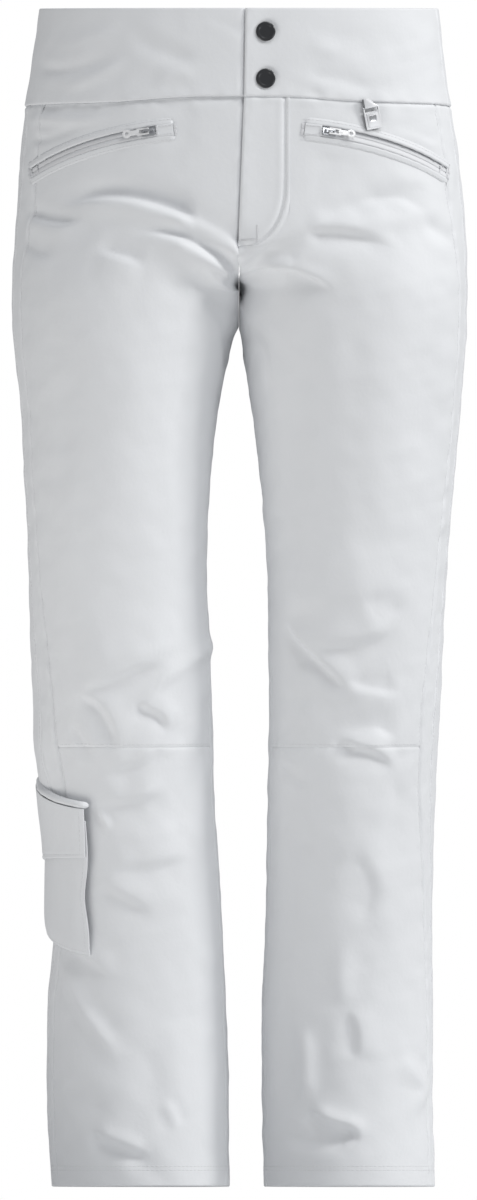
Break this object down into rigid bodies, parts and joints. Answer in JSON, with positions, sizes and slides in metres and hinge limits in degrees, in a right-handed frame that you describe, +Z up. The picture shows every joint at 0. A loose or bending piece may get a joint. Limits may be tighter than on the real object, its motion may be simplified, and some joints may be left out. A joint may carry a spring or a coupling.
{
  "type": "ski pants",
  "caption": "Boot-cut stretch ski pants with snap waistband, zipped fly, curved zipped hand pockets, flapped calf pocket, jointed knees and snow gaiters.",
  "frame": {"origin": "centre of the waist opening, level with the waistband's top edge at the front", "axes": "+Z up, from the hems to the waist; the front faces -Y; the wearer's right side is -X"},
  "size_m": [0.3988, 0.2452, 1.0411],
  "materials": {
    "shell_cloth": "matt",
    "panel_tape": "matt",
    "lining_cloth": "matt",
    "gripper_elastic": "matt",
    "zip_tape": "matt",
    "zip_coil": "satin",
    "zip_metal": "satin",
    "pull_white": "gloss",
    "snap_black": "satin",
    "snap_steel": "satin",
    "charm_steel": "polished",
    "hook_and_loop": "matt"
  },
  "bodies": {
    "hips": {"waistband_right": "shell_cloth", "waistband_left": "shell_cloth", "waistband_underlap": "shell_cloth", "waistband_facing": "lining_cloth", "front_right": "shell_cloth", "front_left": "shell_cloth", "back_right": "shell_cloth", "back_left": "shell_cloth", "side_panel_right": "panel_tape", "side_panel_left": "panel_tape", "fly_shield": "lining_cloth", "fly_zip_tapes": "zip_tape", "fly_zip_teeth": "zip_coil", "snap_studs": "snap_steel", "right_zip_tapes": "zip_tape", "right_zip_teeth": "zip_coil", "right_zip_welts": "panel_tape", "left_zip_tapes": "zip_tape", "left_zip_teeth": "zip_coil", "left_zip_welts": "panel_tape", "zip_end_tabs": "panel_tape", "hand_pocket_bags": "lining_cloth", "charm_loop": "panel_tape", "hang_loop": "panel_tape"},
    "fly_flap": {"waist_tab": "shell_cloth", "fly_placket": "shell_cloth", "snap_caps": "snap_black", "snap_sockets": "snap_steel"},
    "fly_slider": {"fly_zip_slider": "zip_metal"},
    "fly_pull": {"fly_zip_pull": "pull_white"},
    "right_slider": {"right_zip_slider": "zip_metal"},
    "right_pull": {"right_zip_pull": "pull_white"},
    "left_slider": {"left_zip_slider": "zip_metal"},
    "left_pull": {"left_zip_pull": "pull_white"},
    "charm": {"charm_plate": "charm_steel"},
    "right_shin": {"right_knee_panel": "shell_cloth", "right_front_shin": "shell_cloth", "right_side_shin": "panel_tape", "right_back_shin": "shell_cloth", "right_knee_gusset": "shell_cloth", "right_gaiter": "lining_cloth", "right_gaiter_elastic": "gripper_elastic", "right_lace_hook": "zip_metal", "cargo_pocket": "shell_cloth", "cargo_binding": "panel_tape", "cargo_loop_patch": "hook_and_loop"},
    "left_shin": {"left_knee_panel": "shell_cloth", "left_front_shin": "shell_cloth", "left_side_shin": "panel_tape", "left_back_shin": "shell_cloth", "left_knee_gusset": "shell_cloth", "left_gaiter": "lining_cloth", "left_gaiter_elastic": "gripper_elastic", "left_lace_hook": "zip_metal"},
    "cargo_flap_body": {"cargo_flap": "shell_cloth", "cargo_hook_patch": "hook_and_loop"}
  },
  "joints": [
    {"name": "fly_flap_hinge", "type": "hinge", "parent": "hips", "child": "fly_flap", "pos_m": [0.04435, -0.1121, -0.1], "axis": [0, 0, 1], "range_deg": [0, 110]},
    {"name": "fly_zip_slide", "type": "slide", "parent": "hips", "child": "fly_slider", "axis": [0, 0, -1], "range_m": [0, 0.093]},
    {"name": "fly_pull_hinge", "type": "hinge", "parent": "fly_slider", "child": "fly_pull", "pos_m": [0.012, -0.1053, -0.0904], "axis": [-1, 0, 0], "range_deg": [0, 8]},
    {"name": "right_zip_slide", "type": "hinge", "parent": "hips", "child": "right_slider", "pos_m": [-0.04437, 0.04295, -0.1686], "axis": [0.0682, -0.3913, -0.9177], "range_deg": [0, 37.83]},
    {"name": "right_pull_hinge", "type": "hinge", "parent": "right_slider", "child": "right_pull", "pos_m": [-0.07888, -0.1086, -0.10656], "axis": [-0.0682, 0.3913, 0.9177], "range_deg": [0, 150]},
    {"name": "left_zip_slide", "type": "hinge", "parent": "hips", "child": "left_slider", "pos_m": [0.04216, 0.0477, -0.17856], "axis": [0.0578, 0.4296, 0.9012], "range_deg": [0, 35.94]},
    {"name": "left_pull_hinge", "type": "hinge", "parent": "left_slider", "child": "left_pull", "pos_m": [0.07888, -0.10855, -0.10643], "axis": [-0.0578, -0.4296, -0.9012], "range_deg": [0, 150]},
    {"name": "charm_hinge", "type": "hinge", "parent": "hips", "child": "charm", "pos_m": [0.11425, -0.09877, -0.08582], "axis": [-0.9166, -0.3416, -0.2079], "range_deg": [0, 90]},
    {"name": "right_knee", "type": "hinge", "parent": "hips", "child": "right_shin", "pos_m": [-0.103, -0.008, -0.57], "axis": [1, 0, 0], "range_deg": [0, 75], "deforming": ["right_knee_gusset"]},
    {"name": "left_knee", "type": "hinge", "parent": "hips", "child": "left_shin", "pos_m": [0.102, -0.008, -0.57], "axis": [1, 0, 0], "range_deg": [0, 75], "deforming": ["left_knee_gusset"]},
    {"name": "cargo_flap_hinge", "type": "hinge", "parent": "right_shin", "child": "cargo_flap_body", "pos_m": [-0.17946, -0.00429, -0.67664], "axis": [0, 0.9604, 0.2785], "range_deg": [0, 95]}
  ]
}
